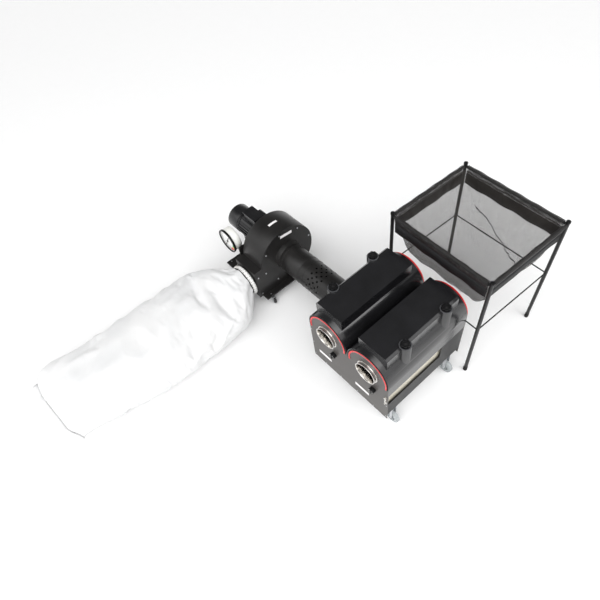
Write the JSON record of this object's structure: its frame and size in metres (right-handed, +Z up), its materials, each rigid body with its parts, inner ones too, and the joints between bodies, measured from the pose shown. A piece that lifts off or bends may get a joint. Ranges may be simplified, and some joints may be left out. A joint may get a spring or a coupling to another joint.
{
  "type": "twin-drum leaf trimming machine with vacuum collector",
  "caption": "Two rotating drums under moulded covers on a low caster cart, ducted to a centrifugal blower with a dial gauge and a filter bag, and a square mesh catch bin.",
  "frame": {"origin": "on the floor, under the middle of the whole set's box", "axes": "+Z up; +Y along the drum axes from the infeed towards the mesh bin; +X across the drums, away from the blower"},
  "size_m": [1.9975, 2.823, 0.892],
  "materials": {
    "powder_black": "satin powder coat",
    "powder_grey": "satin",
    "cover_plastic": "moulded, fine texture",
    "cream_plastic": "satin",
    "nylon": "satin",
    "polished_steel": "polished",
    "stainless": "brushed",
    "red_trim": "gloss",
    "tool_steel": "ground",
    "motor_black": "gloss enamel",
    "plate_white": "plain plate",
    "zinc": "zinc plated",
    "gauge_white": "satin",
    "filter_cloth": "non-woven felt",
    "strap_web": "woven webbing",
    "black_rubber": "matt",
    "mesh_cloth": "open mesh",
    "hem_cloth": "woven nylon",
    "knob_black": "moulded",
    "cast_alloy": "cast",
    "grey_wheel": "soft tread",
    "dark_wheel": "soft tread"
  },
  "bodies": {
    "frame": {"front_plate": "powder_grey", "rear_plate": "powder_grey", "cart_frame": "powder_black", "collection_pan": "cream_plastic", "drum_bearings": "nylon", "infeed_collars": "polished_steel", "trim_rings": "red_trim", "bed_knives": "tool_steel", "reel_motors": "motor_black", "name_plates": "plate_white", "latch_base": "polished_steel", "duct_tube": "powder_black", "vent_section": "powder_black", "blower_housing": "powder_black", "inlet_plate": "powder_black", "blower_bolts": "zinc", "motor_body": "motor_black", "fan_cowl": "motor_black", "terminal_box": "motor_black", "blower_base": "powder_black", "gauge_body": "gauge_white", "outlet_collar": "powder_black", "filter_bag": "filter_cloth", "neck_strap": "strap_web", "bin_legs": "powder_black", "bin_rods": "powder_black", "bin_feet": "black_rubber", "mesh_bag": "mesh_cloth", "bin_hem": "hem_cloth"},
    "drum_left": {"drum_left": "stainless"},
    "drum_right": {"drum_right": "stainless"},
    "reel_left": {"reel_left": "tool_steel"},
    "reel_right": {"reel_right": "tool_steel"},
    "cover_left": {"cover_left": "cover_plastic"},
    "cover_right": {"cover_right": "cover_plastic"},
    "cover_knob_1": {"cover_knob_1": "knob_black"},
    "cover_knob_2": {"cover_knob_2": "knob_black"},
    "cover_knob_3": {"cover_knob_3": "knob_black"},
    "cover_knob_4": {"cover_knob_4": "knob_black"},
    "latch_lever": {"latch_lever": "polished_steel"},
    "speed_knob_left": {"speed_knob_left": "knob_black"},
    "speed_knob_right": {"speed_knob_right": "knob_black"},
    "impeller": {"impeller": "cast_alloy"},
    "gauge_needle": {"gauge_needle": "knob_black"},
    "cart_fork_1": {"cart_fork_1": "zinc"},
    "cart_wheel_1": {"cart_wheel_1": "grey_wheel"},
    "cart_fork_2": {"cart_fork_2": "zinc"},
    "cart_wheel_2": {"cart_wheel_2": "grey_wheel"},
    "cart_fork_3": {"cart_fork_3": "zinc"},
    "cart_wheel_3": {"cart_wheel_3": "grey_wheel"},
    "cart_fork_4": {"cart_fork_4": "zinc"},
    "cart_wheel_4": {"cart_wheel_4": "grey_wheel"},
    "blower_fork_1": {"blower_fork_1": "zinc"},
    "blower_wheel_1": {"blower_wheel_1": "dark_wheel"},
    "blower_fork_2": {"blower_fork_2": "zinc"},
    "blower_wheel_2": {"blower_wheel_2": "dark_wheel"},
    "blower_fork_3": {"blower_fork_3": "zinc"},
    "blower_wheel_3": {"blower_wheel_3": "dark_wheel"},
    "blower_fork_4": {"blower_fork_4": "zinc"},
    "blower_wheel_4": {"blower_wheel_4": "dark_wheel"}
  },
  "joints": [
    {"name": "drum_left_spin", "type": "hinge", "parent": "frame", "child": "drum_left", "pos_m": [0.40223, 0.4185, 0.514], "axis": [0, 1, 0], "continuous": true},
    {"name": "reel_left_spin", "type": "hinge", "parent": "frame", "child": "reel_left", "pos_m": [0.40223, 0.3585, 0.358], "axis": [0, 1, 0], "continuous": true},
    {"name": "cover_left_lift", "type": "slide", "parent": "frame", "child": "cover_left", "axis": [0, 0, 1], "range_m": [0, 0.3]},
    {"name": "speed_knob_left_turn", "type": "hinge", "parent": "frame", "child": "speed_knob_left", "pos_m": [0.44823, 0.0985, 0.372], "axis": [0, -1, 0], "range_deg": [-135, 135]},
    {"name": "drum_right_spin", "type": "hinge", "parent": "frame", "child": "drum_right", "pos_m": [0.72023, 0.4185, 0.514], "axis": [0, 1, 0], "continuous": true},
    {"name": "reel_right_spin", "type": "hinge", "parent": "frame", "child": "reel_right", "pos_m": [0.72023, 0.3585, 0.358], "axis": [0, 1, 0], "continuous": true},
    {"name": "cover_right_lift", "type": "slide", "parent": "frame", "child": "cover_right", "axis": [0, 0, 1], "range_m": [0, 0.3]},
    {"name": "speed_knob_right_turn", "type": "hinge", "parent": "frame", "child": "speed_knob_right", "pos_m": [0.76623, 0.0985, 0.372], "axis": [0, -1, 0], "range_deg": [-135, 135]},
    {"name": "cover_knob_1_turn", "type": "hinge", "parent": "cover_left", "child": "cover_knob_1", "pos_m": [0.29423, 0.2635, 0.725], "axis": [0, 0, 1], "continuous": true},
    {"name": "cover_knob_2_turn", "type": "hinge", "parent": "cover_left", "child": "cover_knob_2", "pos_m": [0.29423, 0.5795, 0.725], "axis": [0, 0, 1], "continuous": true},
    {"name": "cover_knob_3_turn", "type": "hinge", "parent": "cover_right", "child": "cover_knob_3", "pos_m": [0.82823, 0.2635, 0.725], "axis": [0, 0, 1], "continuous": true},
    {"name": "cover_knob_4_turn", "type": "hinge", "parent": "cover_right", "child": "cover_knob_4", "pos_m": [0.82823, 0.5795, 0.725], "axis": [0, 0, 1], "continuous": true},
    {"name": "latch_swing", "type": "hinge", "parent": "frame", "child": "latch_lever", "pos_m": [0.86123, 0.0925, 0.395], "axis": [-1, 0, 0], "range_deg": [0, 110]},
    {"name": "impeller_spin", "type": "hinge", "parent": "frame", "child": "impeller", "pos_m": [-0.58877, 0.4475, 0.312], "axis": [1, 0, 0], "continuous": true},
    {"name": "needle_swing", "type": "hinge", "parent": "frame", "child": "gauge_needle", "pos_m": [-0.76877, 0.1935, 0.385], "axis": [0, 1, 0], "range_deg": [-150, 40]},
    {"name": "cart_swivel_1", "type": "hinge", "parent": "frame", "child": "cart_fork_1", "pos_m": [0.29623, 0.1685, 0.05], "axis": [0, 0, 1], "continuous": true},
    {"name": "cart_roll_1", "type": "hinge", "parent": "cart_fork_1", "child": "cart_wheel_1", "pos_m": [0.33123, 0.1685, 0.05], "axis": [0, 1, 0], "continuous": true},
    {"name": "cart_swivel_2", "type": "hinge", "parent": "frame", "child": "cart_fork_2", "pos_m": [0.82623, 0.1685, 0.05], "axis": [0, 0, 1], "continuous": true},
    {"name": "cart_roll_2", "type": "hinge", "parent": "cart_fork_2", "child": "cart_wheel_2", "pos_m": [0.86123, 0.1685, 0.05], "axis": [0, 1, 0], "continuous": true},
    {"name": "cart_swivel_3", "type": "hinge", "parent": "frame", "child": "cart_fork_3", "pos_m": [0.29623, 0.6585, 0.05], "axis": [0, 0, 1], "continuous": true},
    {"name": "cart_roll_3", "type": "hinge", "parent": "cart_fork_3", "child": "cart_wheel_3", "pos_m": [0.33123, 0.6585, 0.05], "axis": [0, 1, 0], "continuous": true},
    {"name": "cart_swivel_4", "type": "hinge", "parent": "frame", "child": "cart_fork_4", "pos_m": [0.82623, 0.6585, 0.05], "axis": [0, 0, 1], "continuous": true},
    {"name": "cart_roll_4", "type": "hinge", "parent": "cart_fork_4", "child": "cart_wheel_4", "pos_m": [0.86123, 0.6585, 0.05], "axis": [0, 1, 0], "continuous": true},
    {"name": "blower_swivel_1", "type": "hinge", "parent": "frame", "child": "blower_fork_1", "pos_m": [-0.85877, 0.2105, 0.025], "axis": [0, 0, 1], "continuous": true},
    {"name": "blower_roll_1", "type": "hinge", "parent": "blower_fork_1", "child": "blower_wheel_1", "pos_m": [-0.83677, 0.2105, 0.025], "axis": [0, 1, 0], "continuous": true},
    {"name": "blower_swivel_2", "type": "hinge", "parent": "frame", "child": "blower_fork_2", "pos_m": [-0.38577, 0.2255, 0.025], "axis": [0, 0, 1], "continuous": true},
    {"name": "blower_roll_2", "type": "hinge", "parent": "blower_fork_2", "child": "blower_wheel_2", "pos_m": [-0.36377, 0.2255, 0.025], "axis": [0, 1, 0], "continuous": true},
    {"name": "blower_swivel_3", "type": "hinge", "parent": "frame", "child": "blower_fork_3", "pos_m": [-0.85877, 0.6185, 0.025], "axis": [0, 0, 1], "continuous": true},
    {"name": "blower_roll_3", "type": "hinge", "parent": "blower_fork_3", "child": "blower_wheel_3", "pos_m": [-0.83677, 0.6185, 0.025], "axis": [0, 1, 0], "continuous": true},
    {"name": "blower_swivel_4", "type": "hinge", "parent": "frame", "child": "blower_fork_4", "pos_m": [-0.38577, 0.6185, 0.025], "axis": [0, 0, 1], "continuous": true},
    {"name": "blower_roll_4", "type": "hinge", "parent": "blower_fork_4", "child": "blower_wheel_4", "pos_m": [-0.36377, 0.6185, 0.025], "axis": [0, 1, 0], "continuous": true}
  ]
}
